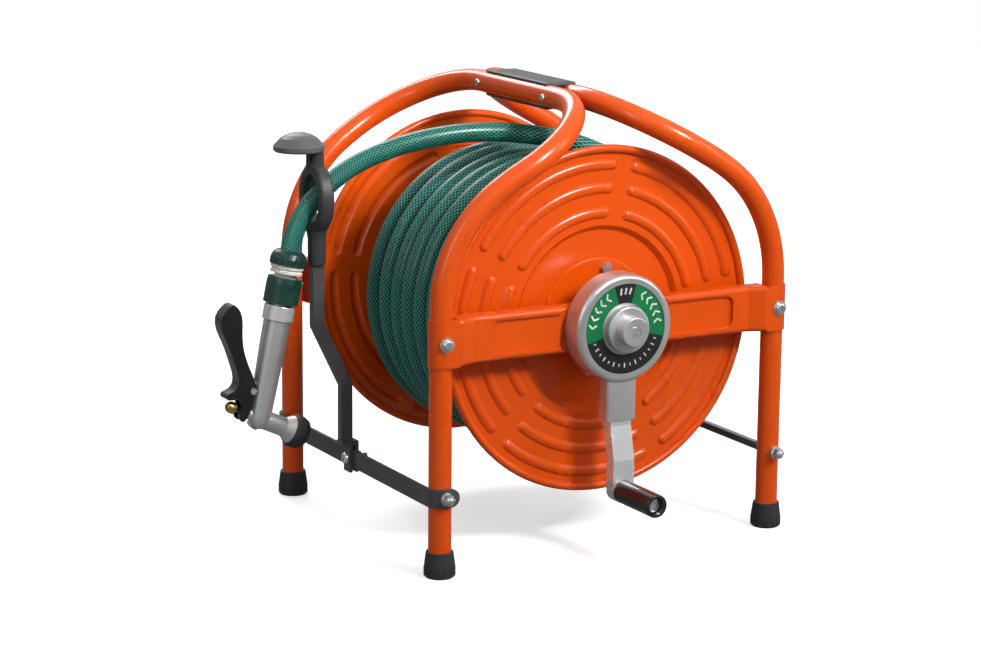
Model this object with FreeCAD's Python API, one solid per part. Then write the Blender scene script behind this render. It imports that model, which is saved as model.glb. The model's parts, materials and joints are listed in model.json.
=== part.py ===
import FreeCAD, Part
import math
import os

# Garden hose reel cart: two bent tube hoops carry a drum reel with a crank, a hose guide lever
# and a hose with its nozzle.  Millimetres.  +X right, -Y front (the crank side), +Z up.
# Everything is built about the middle of the four legs, then moved so that the origin is the
# bottom centre of the cart's box without its hose.
os.makedirs("parts", exist_ok=True)
V = FreeCAD.Vector
X, Y, Z = V(1, 0, 0), V(0, 1, 0), V(0, 0, 1)

# ---- driving dimensions -------------------------------------------------------------------
TUBE_R = 11.1            # frame tube, 22.2 mm outside
TUBE_WALL = 1.4
LEG_X = 188.7            # leg axes, half the track
LEG_Y = 164.6            # leg axes, half the depth
LEG_TOP = 258.8          # where the legs start to arch
ARCH_R1 = 137.0
ARCH_TURN1 = 54.7        # degrees
ARCH_R2 = 280.0
ARCH_TURN2 = 6.1
ARCH_LEAN = 6.2          # the arches lean out to the front and the back
HANDLE_R = 97.0          # bend from each arch into the handle
HANDLE_X = TUBE_R + 1.5  # handle tubes, half their spacing

FOOT_R = TUBE_R + 4.3
FOOT_LIP = 2.2           # the foot's upper rim stands this far out from the tube
FOOT_H = 25.0
FOOT_SOLE = 5.0
FOOT_GROOVES = 14
FOOT_GROOVE_R = 1.1

AXLE_Z = 228.4
SHAFT_R = 10.0
SHAFT_BORE_R = 6.0
RUN_CLEAR = 0.05         # radial running clearance

SHEET = 1.6              # cross member sheet
BEAM_FRONT = LEG_Y + TUBE_R + SHEET
BEAM_H = 46.0
BEAM_Z = 228.8           # middle of the cross member
FLANGE_DEPTH = 22.0
PANEL_L = LEG_X - 50.7   # half length of the shallow recess
PANEL_H = 33.0
PANEL_DEPTH = 3.5
SET_BACK = 7.1           # the panel between the legs lies this far behind its ends
RAMP_OUT = LEG_X - 16.7
RAMP_IN = LEG_X - 32.7
BASIN_L = 60.0           # the deeper basin behind the crank
BASIN_H = 40.0
SEAT_L = 56.0            # the flat seat of the bearing, half length
SEAT_DEPTH = 13.8
SEAT_Y = BEAM_FRONT - SEAT_DEPTH         # outer face of the bearing seat
BUSH_R = SHAFT_R + 2.5

DISC_R = 172.6
DISC_SHEET = 1.0
DISC_Y = LEG_Y - 26.1    # outer face of each disc's web
BEAD_R = 4.0
DISH_DEPTH = 5.0
DISH_R = round(0.527 * DISC_R, 1)
RIDGE_RADII = [round(share * DISC_R, 1) for share in (0.612, 0.752, 0.885)]
RIDGE_H = 3.0
RIDGE_R = 7.0
RIDGE_GAP = 17.0         # clear width between the rounded ends
SECTORS = 5
SECTOR_START = 8.0       # degrees of the first gap
DRUM_R = 60.0
DRUM_WALL = 1.2
HUB_R = 60.5
HUB_T = 2.0
BOLT_CIRCLE_R = 51.5
DISC_BOLTS = 4
BOLT_TURN = 80.0         # degrees from +X of the first bolt
WEB_IN = DISC_Y - DISH_DEPTH - DISC_SHEET        # inner face of each disc's dish

HOSE_D = 19.5
HOSE_BORE_R = 7.5
COIL_R = DISC_R - 20.3   # outside of the wound hose
COIL_GAP = 0.4
COIL_BACK_Y = DISC_Y - 60.5              # the outermost layer stops here
FIRST_TURN_R = DRUM_R + HOSE_D / 2 + COIL_GAP

SHAFT_FRONT = BEAM_FRONT + 22.7
SHAFT_BACK = BEAM_FRONT + 12.7
OUTLET_Y = DISC_Y - 38.5
OUTLET_R = 8.0
OUTLET_BORE = 5.2
SEAL_Y = (BEAM_FRONT - 1.3, BEAM_FRONT + 6.7)
SEAL_R = 1.3

HOUSING_R = 53.3
HOUSING_FRONT = BEAM_FRONT + 12.5        # the crank housing's face, in front of the middle
HOUSING_BACK = BEAM_FRONT - 11.7
BOSS_R = 23.0
BOSS_FRONT = BEAM_FRONT + 19.7
NOSE_R = 14.5
NOSE_FRONT = BEAM_FRONT + 31.1
LABEL_OUT_R = 44.5
LABEL_IN_R = 25.5
LABEL_T = 0.8
LABEL_SEAT = 1.8         # depth of the label's recess
CRANK_SCREW_R = 5.8
CRANK_SCREW_SEAT = 2.6
NECK_W = 33.0
NECK_Z = 136.5
NECK_FRONT = BEAM_FRONT + 8.5
NECK_BACK = BEAM_FRONT - 6.3
ARM_W = 23.4
ARM_T = 13.0
ARM_UPPER_FRONT = BEAM_FRONT + 6.9
ARM_LOWER_FRONT = BEAM_FRONT + 14.4
ARM_BEND_HIGH = 131.0
ARM_BEND_LOW = 97.5
CRANK_GRIP_Z = 66.5
CRANK_GRIP_R = 11.5
CRANK_GRIP_L = 61.0
CRANK_PIN_R = 5.0
PIN_HEAD_R = 7.2
PIN_SUNK = 9.0           # the pin ends this far inside the grip's mouth

INLET_BACK = SHAFT_BACK + 10.0
INLET_R = 18.0
NIPPLE_R = 7.5
NIPPLE_L = 28.0
INLET_SCREW_X = 24.0

BAR_Z = 79.8             # flat bar and tie rod
BAR_H = 18.0
BAR_T = 3.0
ROD_R = 4.5
STUD_R = 3.0             # M6 fasteners
STUD_CLEAR = 0.2
STUD_REACH = 5.5         # how far a stud stands into its acorn nut
NUT_W = 10.0             # M6 nuts and bolt heads across their flats
NUT_H = 5.0
LOCK_NUT_H = 3.5
SMALL_SCREW_R = 2.0      # M4 screws
SMALL_HOLE_R = 2.2

GRIP_HALF_L = 60.4
GRIP_HALF_W = TUBE_R + 5.9
GRIP_TOP_RISE = TUBE_R + 2.2             # above the handle tubes' axes
GRIP_SCREW_Y = 66.0      # screws through both handle tubes
SHELL_SCREW_Y = 35.0     # screws that hold the two shells together

GUIDE_Y = 0.0
BRACKET_LOW = 66.0
BRACKET_TOP = 94.0
BRACKET_T = 3.0
BRACKET_GAP = 0.4
PIVOT_R = 3.0
POST_X = -(LEG_X + TUBE_R + 8.2)         # guide lever, lower part
POST_OUT_X = POST_X - 30.5               # guide lever, upper part
POST_W = 9.0
POST_T = 12.0
POST_BEND_LOW = 157.0
POST_BEND_HIGH = 219.0
POST_TOP = 300.0
LOOP_Z = 345.0
LOOP_HOLE_H = 23.0       # half height of the loop's hole
LOOP_HOLE_W = 17.0
LOOP_RIM = 10.5
LOOP_T = 15.0
KNOB_R = 25.0
KNOB_X = POST_OUT_X - 18.5
KNOB_Z = 391.5

NUT_TOP = (-267.2, 0.0, 295.9)   # where the hose enters its connector
HANG_TILT = 11.8         # the connector and the nozzle lean by this many degrees
ELBOW_Z = 167.5          # down the hanging nozzle from NUT_TOP
ELBOW_R = 11.2
BARREL_TURN = 13.1       # degrees that the barrel drops below square to the grip
BARREL_R = 9.6
LEVER_PIN = (15.5, 140.5)
LEVER_PIN_R = 2.0
LEVER_W = 16.0
STEM_R = 2.5
VALVE_R = 4.0
OUTLET_BORE_R = 4.5

# the free hose, from the top of the wound hose through the guide loop into the connector
HOSE_ROUTE = [(22.0, -27.0, 390.5), (-28.0, -24.0, 399.8), (-81.5, -20.0, 403.0),
              (-131.5, -14.0, 398.0), (-174.5, -7.0, 386.4), (-206.5, -2.5, 372.2),
              (-229.3, -2.5, 356.2), (-246.4, -0.5, 340.0), (-257.9, 0.0, 323.2),
              (-265.15, 0.0, 305.7), (-268.84, 0.0, 288.07)]
HOSE_SPLIT = 5           # the run after this point crosses from the cart to the guide lever
HOSE_GAP = 0.3


# ---- small helpers ------------------------------------------------------------------------
def cylinder(radius, length, base, direction):
    return Part.makeCylinder(radius, length, V(*base), direction)


def box(low, high):
    return Part.makeBox(high[0] - low[0], high[1] - low[1], high[2] - low[2], V(*low))


def tube(outer, inner, length, base, direction):
    return cylinder(outer, length, base, direction).cut(cylinder(inner, length, base, direction))


def turned(points, axis_turn=360.0):
    """A solid turned about Z from (radius, height) points."""
    corners = [V(r, 0, h) for r, h in points]
    face = Part.Face(Part.makePolygon(corners + [corners[0]]))
    return face.revolve(V(0, 0, 0), Z, axis_turn)


def aimed(shape, base, direction):
    """Turns a shape made along +Z so that it points along direction, then moves it to base."""
    out = shape.copy()
    out.Placement = FreeCAD.Placement(V(*base), FreeCAD.Rotation(Z, direction))
    return out


def hexagon(across_flats, height):
    radius = across_flats / math.sqrt(3)
    corners = [V(radius * math.cos(math.radians(60 * i)), radius * math.sin(math.radians(60 * i)), 0)
               for i in range(6)]
    return Part.Face(Part.makePolygon(corners + [corners[0]])).extrude(V(0, 0, height))


def mirrored_y(shape):
    return shape.mirror(V(0, 0, 0), Y)


def group(shapes):
    return Part.makeCompound(shapes)


def fused(shapes):
    out = shapes[0].multiFuse(shapes[1:])
    return out.removeSplitter()


def pan_screw(head_r, head_h, shank_r, shank_l, washer_r=0.0, washer_t=0.0):
    """Cross-recess pan-head screw along Z: the shank runs down, the head stands on z = 0."""
    head = cylinder(head_r, head_h, (0, 0, washer_t), Z)
    head = head.makeFillet(head_h * 0.6, [head.Edges[0]])
    arm = head_r * 1.1
    slot = head_r * 0.24
    deep = head_h + washer_t - head_h * 0.55
    head = head.cut(box((-arm / 2, -slot / 2, deep), (arm / 2, slot / 2, 20)))
    head = head.cut(box((-slot / 2, -arm / 2, deep), (slot / 2, arm / 2, 20)))
    pieces = [head, cylinder(shank_r, shank_l + washer_t, (0, 0, -shank_l), Z)]
    if washer_r:
        pieces.append(cylinder(washer_r, washer_t, (0, 0, 0), Z))
    return fused(pieces)


def acorn_nut(across_flats, hex_h, bore_r):
    """Dome nut with its washer, seated on z = 0."""
    dome = Part.makeSphere(across_flats * 0.46, V(0, 0, hex_h))
    washer = cylinder(across_flats * 0.66, 1.2, (0, 0, 0), Z)
    body = fused([hexagon(across_flats, hex_h + 1.2), dome, washer])
    body = body.cut(box((-30, -30, -30), (30, 30, 0)))
    return body.cut(cylinder(bore_r, hex_h, (0, 0, -0.1), Z))


def hex_nut(across_flats, height, bore_r):
    return hexagon(across_flats, height).cut(cylinder(bore_r, height, (0, 0, 0), Z))


def rounded_path(points):
    """Straight runs joined by tangent arcs, each arc as large as its two runs allow."""
    p = [V(*q) for q in points]
    edges, radii, start = [], [], p[0]
    for i in range(1, len(p) - 1):
        a, b = p[i].sub(p[i - 1]), p[i + 1].sub(p[i])
        half = a.getAngle(b) / 2
        reach = 0.45 * min(a.Length, b.Length)
        radii.append(reach / math.tan(half))
        da, db = V(a).normalize(), V(b).normalize()
        first = p[i].sub(V(da).multiply(reach))
        last = p[i].add(V(db).multiply(reach))
        inward = V(db).sub(da).normalize()
        middle = p[i].add(inward.multiply(radii[-1] * (1 / math.cos(half) - 1)))
        edges.append(Part.LineSegment(start, first).toShape())
        edges.append(Part.Arc(first, middle, last).toShape())
        start = last
    edges.append(Part.LineSegment(start, p[-1]).toShape())
    return Part.Wire(edges), radii


def swept(wire, radius):
    """A round rod along a wire."""
    start = wire.Edges[0].valueAt(wire.Edges[0].FirstParameter)
    along = wire.Edges[0].tangentAt(wire.Edges[0].FirstParameter)
    ring = Part.Wire(Part.makeCircle(radius, start, along))
    return wire.makePipeShell([ring], True, False)


# ---- frame: hoops, feet, cross members ----------------------------------------------------
def quarter_hoop(side, end):
    """Centreline edges of one leg, its arch and its bend into the handle; end is -1 at the front."""
    lean = math.radians(ARCH_LEAN)
    inward = V(-side * math.cos(lean), end * math.sin(lean), 0)
    foot = V(side * LEG_X, end * LEG_Y, FOOT_SOLE)
    top = V(side * LEG_X, end * LEG_Y, LEG_TOP)

    def mix(across, up):
        return V(inward).multiply(across).add(V(Z).multiply(up))

    def on_arc(centre, radius, turn):
        t = math.radians(turn)
        return centre.add(mix(-radius * math.cos(t), radius * math.sin(t)))

    centre1 = top.add(mix(ARCH_R1, 0))
    knee = on_arc(centre1, ARCH_R1, ARCH_TURN1)
    turn1, turn2 = ARCH_TURN1, ARCH_TURN1 + ARCH_TURN2
    normal = mix(math.cos(math.radians(turn1)), -math.sin(math.radians(turn1)))
    centre2 = knee.add(normal.multiply(ARCH_R2))
    arch_end = on_arc(centre2, ARCH_R2, turn2)
    slope = mix(math.sin(math.radians(turn2)), math.cos(math.radians(turn2)))
    run = (abs(arch_end.x) - HANDLE_X) / abs(slope.x)
    corner = arch_end.add(V(slope).multiply(run))
    along = V(0, -end, 0)
    half = slope.getAngle(along) / 2
    reach = HANDLE_R * math.tan(half)
    bend_start = corner.sub(V(slope).multiply(reach))
    bend_end = corner.add(V(along).multiply(reach))
    inner = V(along).sub(slope).normalize()
    bend_middle = corner.add(inner.multiply(HANDLE_R * (1 / math.cos(half) - 1)))
    edges = [Part.LineSegment(foot, top).toShape(),
             Part.Arc(top, on_arc(centre1, ARCH_R1, turn1 / 2), knee).toShape(),
             Part.Arc(knee, on_arc(centre2, ARCH_R2, turn1 + ARCH_TURN2 / 2), arch_end).toShape(),
             Part.LineSegment(arch_end, bend_start).toShape(),
             Part.Arc(bend_start, bend_middle, bend_end).toShape()]
    return edges, bend_end


def hoop(side):
    front, front_end = quarter_hoop(side, -1)
    back, back_end = quarter_hoop(side, 1)
    middle = Part.LineSegment(front_end, back_end).toShape()
    wire = Part.Wire(front + [middle] + back[::-1])
    outer = swept(wire, TUBE_R)
    inner = swept(wire, TUBE_R - TUBE_WALL)
    shape = outer.cut(inner)
    drill = STUD_R + STUD_CLEAR
    for z in (BEAM_Z, BAR_Z):
        hole_r = drill if z == BEAM_Z or side < 0 else ROD_R + STUD_CLEAR
        shape = shape.cut(cylinder(hole_r, 2 * LEG_Y + 60, (side * LEG_X, -LEG_Y - 30, z), Y))
    for y in (-GRIP_SCREW_Y, GRIP_SCREW_Y):
        shape = shape.cut(cylinder(SMALL_HOLE_R, 60, (-30, y, HANDLE_Z), X))
    return shape


HANDLE_Z = quarter_hoop(1, -1)[1].z


def foot(x, y):
    body = turned([(TUBE_R, FOOT_SOLE), (TUBE_R, FOOT_H), (TUBE_R + FOOT_LIP, FOOT_H),
                   (FOOT_R - 0.6, FOOT_H * 0.55), (FOOT_R, FOOT_H * 0.4), (FOOT_R, 2.0), (FOOT_R - 2.0, 0),
                   (0, 0), (0, FOOT_SOLE)])
    for i in range(FOOT_GROOVES):
        angle = 2 * math.pi * i / FOOT_GROOVES
        spot = ((FOOT_R + 0.5) * math.cos(angle), (FOOT_R + 0.5) * math.sin(angle), 3.0)
        body = body.cut(cylinder(FOOT_GROOVE_R, FOOT_H, spot, Z))
    body.translate(V(x, y, 0))
    return body


def prism(half_l, low, high, front, back, corner):
    """A block with rounded ends seen from the front; x runs to both sides of the middle."""
    block = box((-half_l, front, low), (half_l, back, high))
    upright = [e for e in block.Edges if abs(e.tangentAt(e.FirstParameter).y) > 0.9]
    return block.makeFillet(corner, upright)


def flat_prism(corners, low, high):
    """An upright block from its corners seen from above."""
    points = [V(x, y, low) for x, y in corners]
    return Part.Face(Part.makePolygon(points + [points[0]])).extrude(V(0, 0, high - low))


def beam_mould(skin):
    """The pressed panel's outside for skin 0, and its inside for skin = the sheet's thickness."""
    low, high = BEAM_Z - BEAM_H / 2, BEAM_Z + BEAM_H / 2
    front = -BEAM_FRONT
    face, seat = front + SET_BACK, front + SEAT_DEPTH
    length = LEG_X - TUBE_R - 2.0
    outline = [(-length, front + skin), (-RAMP_OUT, front + skin), (-RAMP_IN, face + skin),
               (RAMP_IN, face + skin), (RAMP_OUT, front + skin), (length, front + skin),
               (length, front + FLANGE_DEPTH), (-length, front + FLANGE_DEPTH)]
    mould = flat_prism(outline, low + skin, high - skin)
    rim = [e for e in mould.Edges
           if abs(e.tangentAt(e.FirstParameter).z) < 0.1 and e.BoundBox.YMax < face + skin + 1]
    mould = mould.makeFillet(4.5 - skin, rim)
    far = front - 5
    shallow = prism(PANEL_L + skin, BEAM_Z - PANEL_H / 2 - skin, BEAM_Z + PANEL_H / 2 + skin, far,
                    face + PANEL_DEPTH + skin, 9.0 + skin)
    corners = [(-BASIN_L - skin, face), (BASIN_L + skin, face), (SEAT_L + 2 + skin, seat + skin),
               (-SEAT_L - 2 - skin, seat + skin)]
    basin = flat_prism(corners, BEAM_Z - BASIN_H / 2 - skin, BEAM_Z + BASIN_H / 2 + skin)
    bearing = box((-SEAT_L - skin, far, low - 5), (SEAT_L + skin, seat + skin, high + 5))
    return mould.cut(shallow).cut(basin).cut(bearing)


def cross_member():
    front = -BEAM_FRONT
    low, high = BEAM_Z - BEAM_H / 2, BEAM_Z + BEAM_H / 2
    inside = beam_mould(SHEET)
    panel = beam_mould(0.0).cut(inside)
    pieces = [panel]
    for side in (-1, 1):
        wrap = tube(TUBE_R + SHEET, TUBE_R, BEAM_H, (side * LEG_X, -LEG_Y, low), Z)
        inner, away = sorted((-side * 0.01, side * 40))
        outer = box((inner, -40, 0), (away, 40, BEAM_H))
        outer.translate(V(side * LEG_X, -LEG_Y, low))
        front_half = box((-40, -40, 0), (40, 3.0, BEAM_H))
        front_half.translate(V(side * LEG_X, -LEG_Y, low))
        pieces.append(wrap.common(outer).common(front_half))
        near, far = sorted((side * (LEG_X - TUBE_R - 3.0), side * LEG_X))
        pieces.append(box((near, front, low), (far, front + SHEET, high)))
    shape = fused(pieces)
    for side in (-1, 1):
        shape = shape.cut(cylinder(STUD_R + STUD_CLEAR, 30, (side * LEG_X, front - 5, BEAM_Z), Y))
    return shape.cut(cylinder(BUSH_R, 60, (0, front - 5, AXLE_Z), Y))


def bearing_bush(end):
    """A flanged plastic bush in the seat of each cross member."""
    sleeve = tube(BUSH_R, SHAFT_R + RUN_CLEAR, SHEET + 7.0, (0, 0, -SHEET - 6.0), Z)
    collar = tube(BUSH_R + 5.0, SHAFT_R + RUN_CLEAR, 3.0, (0, 0, -SHEET - 3.0), Z)
    return aimed(fused([sleeve, collar]), (0, end * SEAT_Y, AXLE_Z), V(0, end, 0))


def beam_screws():
    out = []
    for end in (-1, 1):
        for side in (-1, 1):
            seat = (side * LEG_X, end * BEAM_FRONT, BEAM_Z)
            screw = pan_screw(5.6, 3.8, STUD_R, 2 * TUBE_R + SHEET + 7.0, 7.5, 1.2)
            out.append(aimed(screw, seat, V(0, end, 0)))
    return group(out)


def frame_nuts():
    """Four nuts behind the cross member screws and the one on the guide's pivot bolt."""
    out = []
    nut = hex_nut(NUT_W, NUT_H, STUD_R)
    for end in (-1, 1):
        for side in (-1, 1):
            out.append(aimed(nut, (side * LEG_X, end * (LEG_Y - TUBE_R), BEAM_Z), V(0, -end, 0)))
    seat = -(LEG_X + TUBE_R) + BRACKET_GAP + BRACKET_T + 0.3
    out.append(aimed(nut, (seat, GUIDE_Y, BAR_Z), X))
    return group(out)


def flat_bar():
    """Flat steel along the outer side of the left legs, its ends bent round onto their front and back."""
    outer_x = -(LEG_X + TUBE_R)
    low = BAR_Z - BAR_H / 2
    pieces = [box((outer_x - BAR_T, -LEG_Y, low), (outer_x, LEG_Y, low + BAR_H))]
    for end in (-1, 1):
        bend = Part.makeCylinder(TUBE_R + BAR_T, BAR_H, V(0, 0, low), Z, 90)
        bend = bend.cut(Part.makeCylinder(TUBE_R, BAR_H, V(0, 0, low), Z, 90))
        bend.rotate(V(0, 0, 0), Z, 180 if end < 0 else 90)
        bend.translate(V(-LEG_X, end * LEG_Y, 0))
        pieces.append(bend)
        face = end * (LEG_Y + TUBE_R)
        near, far = sorted((face, face + end * BAR_T))
        pieces.append(box((-LEG_X, near, low), (-LEG_X + 5.0, far, low + BAR_H)))
        pieces.append(cylinder(BAR_H / 2, BAR_T, (-LEG_X + 5.0, near, BAR_Z), Y))
    shape = fused(pieces)
    shape = shape.cut(cylinder(STUD_R + STUD_CLEAR, 2 * LEG_Y + 60, (-LEG_X, -LEG_Y - 30, BAR_Z), Y))
    return shape.cut(cylinder(STUD_R + STUD_CLEAR, 20, (outer_x - 10, GUIDE_Y, BAR_Z), X))


def bar_bolts():
    """Left side: one short bolt through each leg and the flat bar's end."""
    out = []
    for end in (-1, 1):
        head = hexagon(NUT_W, 4.0)
        head.translate(V(0, 0, -4.0))
        length = 2 * TUBE_R + BAR_T + STUD_REACH
        bolt = fused([head, cylinder(STUD_R, length, (0, 0, 0), Z)])
        out.append(aimed(bolt, (-LEG_X, end * (LEG_Y - TUBE_R), BAR_Z), V(0, end, 0)))
    return group(out)


def acorn_nuts():
    out = []
    for end in (-1, 1):
        left = acorn_nut(NUT_W, 6.0, STUD_R)
        out.append(aimed(left, (-LEG_X, end * (LEG_Y + TUBE_R + BAR_T), BAR_Z), V(0, end, 0)))
        right = acorn_nut(NUT_W, 6.0, STUD_R)
        out.append(aimed(right, (LEG_X, end * (LEG_Y + TUBE_R + LOCK_NUT_H), BAR_Z), V(0, end, 0)))
    return group(out)


def tie_rod():
    reach = LEG_Y + TUBE_R
    rod = cylinder(ROD_R, 2 * reach, (LEG_X, -reach, BAR_Z), Y)
    end = reach + LOCK_NUT_H + STUD_REACH
    stud = cylinder(STUD_R, 2 * end, (LEG_X, -end, BAR_Z), Y)
    return fused([rod, stud])


def rod_nuts():
    out = []
    for end in (-1, 1):
        nut = hex_nut(11.0, LOCK_NUT_H, STUD_R)
        out.append(aimed(nut, (LEG_X, end * (LEG_Y + TUBE_R), BAR_Z), V(0, end, 0)))
    return group(out)


# ---- handle -------------------------------------------------------------------------------
def handle_rods(radius):
    return [cylinder(radius, 200, (side * HANDLE_X, -100, HANDLE_Z), Y) for side in (-1, 1)]


def grip_shell(side):
    """Half of the plastic grip: side 1 is the upper shell, -1 the lower one."""
    near, far = sorted((HANDLE_Z + side * 1.5, HANDLE_Z + side * GRIP_TOP_RISE))
    shell = box((-GRIP_HALF_W, -GRIP_HALF_L, near), (GRIP_HALF_W, GRIP_HALF_L, far))
    ends = [e for e in shell.Edges if abs(e.CenterOfMass.z - (HANDLE_Z + side * GRIP_TOP_RISE)) < 0.1]
    shell = shell.makeFillet(2.0, ends)
    for rod in handle_rods(TUBE_R + 0.05):
        shell = shell.cut(rod)
    notch = box((-5.0, -GRIP_HALF_L - 1, HANDLE_Z + 4.0), (5.0, -GRIP_HALF_L + 8.0, HANDLE_Z + 9.5))
    if side > 0:
        shell = shell.cut(notch)
    for y in (-SHELL_SCREW_Y, SHELL_SCREW_Y):
        shell = shell.cut(cylinder(1.25, 60, (0, y, HANDLE_Z - 30), Z))
    return max(shell.Solids, key=lambda s: s.Volume)


def grip_screws():
    out = []
    for y in (-SHELL_SCREW_Y, SHELL_SCREW_Y):
        length = 2 * GRIP_TOP_RISE - 6.0
        screw = fused([cylinder(2.6, 1.4, (0, 0, 0), Z), cylinder(1.2, length, (0, 0, -length), Z)])
        out.append(aimed(screw, (0, y, HANDLE_Z - GRIP_TOP_RISE), V(0, 0, -1)))
    return group(out)


def handle_screws():
    out = []
    outer = HANDLE_X + TUBE_R
    for y in (-GRIP_SCREW_Y, GRIP_SCREW_Y):
        screw = pan_screw(3.6, 2.4, SMALL_SCREW_R, 2 * outer + 4.0)
        out.append(aimed(screw, (-outer, y, HANDLE_Z), V(-1, 0, 0)))
        nut = hex_nut(7.0, 3.2, SMALL_SCREW_R)
        out.append(aimed(nut, (outer, y, HANDLE_Z), X))
    return out


# ---- reel ---------------------------------------------------------------------------------
def ridge_arcs(radius, tool_r, half_turn):
    """The five arcs of one ring of embossed ridges, as round bars sunk below the web."""
    sink = RIDGE_R - RIDGE_H
    out = []
    for i in range(SECTORS):
        middle = SECTOR_START + (i + 0.5) * 360.0 / SECTORS
        bar = Part.makeTorus(radius, tool_r, V(0, 0, -sink), Z, -180, 180, 2 * half_turn)
        bar.rotate(V(0, 0, 0), Z, middle - half_turn)
        out.append(bar)
        for turn in (middle - half_turn, middle + half_turn):
            a = math.radians(turn)
            out.append(Part.makeSphere(tool_r, V(radius * math.cos(a), radius * math.sin(a), -sink)))
    return out


def disc(end):
    """Pressed steel flange of the reel; outwards is +Z while it is made."""
    t = DISC_SHEET
    rim = DISC_R - BEAD_R
    eye, deep = SHAFT_R + 6.0, -DISH_DEPTH
    profile = [(eye, deep), (DISH_R - 3.0, deep), (DISH_R + 2.0, 0), (rim, 0),
               (rim, -t), (DISH_R + 2.6, -t), (DISH_R - 2.4, deep - t), (eye, deep - t)]
    web = turned(profile)
    bead = Part.makeTorus(rim, BEAD_R, V(0, 0, 0.6), Z)
    shape = web.multiFuse([bead])
    above = box((-200, -200, -0.5), (200, 200, 30))
    ridges, grooves = [], []
    for radius in RIDGE_RADII:
        half_turn = 180.0 / SECTORS - math.degrees((RIDGE_GAP / 2 + 5.0) / radius)
        ridges += [r.common(above) for r in ridge_arcs(radius, RIDGE_R, half_turn)]
        grooves += ridge_arcs(radius, RIDGE_R - t, half_turn)
    shape = shape.multiFuse(ridges)
    shape = shape.cut(grooves)
    for x, y in bolt_spots():
        shape = shape.cut(cylinder(STUD_R + STUD_CLEAR, 60, (x, y, -30), Z))
    shape = max(shape.Solids, key=lambda s: s.Volume)
    return faced(shape, end, DISC_Y)


def faced(shape, end, distance):
    """Places a shape made about +Z on the reel's axis, +Z pointing out at the front or the back."""
    shape = shape.copy()
    if end < 0:
        shape.rotate(V(0, 0, 0), X, 90)
    else:
        shape.rotate(V(0, 0, 0), X, -90)
        shape.rotate(V(0, 0, 0), Y, 180)
    shape.translate(V(0, end * distance, AXLE_Z))
    return shape


def bolt_spots():
    for i in range(DISC_BOLTS):
        a = math.radians(BOLT_TURN + 360.0 * i / DISC_BOLTS)
        yield BOLT_CIRCLE_R * math.cos(a), BOLT_CIRCLE_R * math.sin(a)


def hub(end):
    """Pressed flange and boss that carry a disc on the shaft."""
    plate = cylinder(HUB_R, HUB_T, (0, 0, 0), Z)
    plate = plate.makeFillet(1.2, [plate.Edges[0]])
    boss = cylinder(SHAFT_R + 5.0, 13.0, (0, 0, -3.0), Z)
    shape = fused([plate, boss]).cut(cylinder(SHAFT_R, 40, (0, 0, -10), Z))
    for x, y in bolt_spots():
        shape = shape.cut(cylinder(STUD_R + STUD_CLEAR, 40, (x, y, -10), Z))
    return faced(shape, end, DISC_Y - DISH_DEPTH)


def drum():
    shape = tube(DRUM_R, DRUM_R - DRUM_WALL, 2 * WEB_IN, (0, -WEB_IN, AXLE_Z), Y)
    pieces = [shape]
    for end in (-1, 1):
        lip = tube(DRUM_R - DRUM_WALL / 2, 42.0, 2.0, (0, 0, -2.0), Z)
        for x, y in bolt_spots():
            lip = lip.cut(cylinder(STUD_R + STUD_CLEAR, 40, (x, y, -10), Z))
        pieces.append(faced(lip, end, WEB_IN))
    shape = fused(pieces)
    return shape.cut(cylinder(OUTLET_R + 0.6, 90, (0, OUTLET_Y, AXLE_Z), Z))


def disc_bolts():
    out = []
    for end in (-1, 1):
        for x, y in bolt_spots():
            grip = HUB_T + DISC_SHEET + 2.0
            head = hexagon(NUT_W, 4.2)
            bolt = fused([head, cylinder(STUD_R, grip + 7.0, (0, 0, -grip - 7.0), Z)])
            bolt.translate(V(x, y, 0))
            out.append(faced(bolt, end, DISC_Y - DISH_DEPTH + HUB_T))
    return group(out)


def disc_nuts():
    out = []
    for end in (-1, 1):
        for x, y in bolt_spots():
            nut = hex_nut(NUT_W, NUT_H, STUD_R)
            nut.translate(V(x, y, -7.0))
            out.append(faced(nut, end, WEB_IN))
    return group(out)


def reel_shaft():
    shape = cylinder(SHAFT_R, SHAFT_FRONT + SHAFT_BACK, (0, -SHAFT_FRONT, AXLE_Z), Y)
    shape = shape.cut(cylinder(SHAFT_BORE_R, SHAFT_BACK - OUTLET_Y + 10, (0, OUTLET_Y - 10, AXLE_Z), Y))
    shape = shape.cut(cylinder(SHAFT_BORE_R - 0.5, 30, (0, OUTLET_Y, AXLE_Z), Z))
    for y in SEAL_Y:
        start = (0, y - SEAL_R - 0.1, AXLE_Z)
        shape = shape.cut(tube(SHAFT_R + 1, SHAFT_R - 2 * SEAL_R, 2 * SEAL_R + 0.2, start, Y))
    return shape.cut(cylinder(3.0, 20, (0, -SHAFT_FRONT, AXLE_Z), Y))


def shaft_seals():
    return group([Part.makeTorus(SHAFT_R - SEAL_R, SEAL_R, V(0, y, AXLE_Z), Y) for y in SEAL_Y])


def drum_outlet():
    """The bent outlet from the hollow shaft; the hose is pushed onto its barb."""
    top = (0, OUTLET_Y, AXLE_Z + FIRST_TURN_R)
    pieces = [cylinder(OUTLET_R, FIRST_TURN_R - SHAFT_R + 0.4, (0, OUTLET_Y, AXLE_Z + SHAFT_R - 0.4), Z),
              Part.makeSphere(OUTLET_R, V(*top)), cylinder(HOSE_BORE_R - 0.1, 26, top, V(-1, 0, 0))]
    shape = fused(pieces)
    shape = shape.cut(cylinder(SHAFT_R, 40, (0, OUTLET_Y - 20, AXLE_Z), Y))
    shape = shape.cut(cylinder(OUTLET_BORE, FIRST_TURN_R, (0, OUTLET_Y, AXLE_Z), Z))
    return shape.cut(cylinder(OUTLET_BORE, 40, top, V(-1, 0, 0)))


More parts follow.
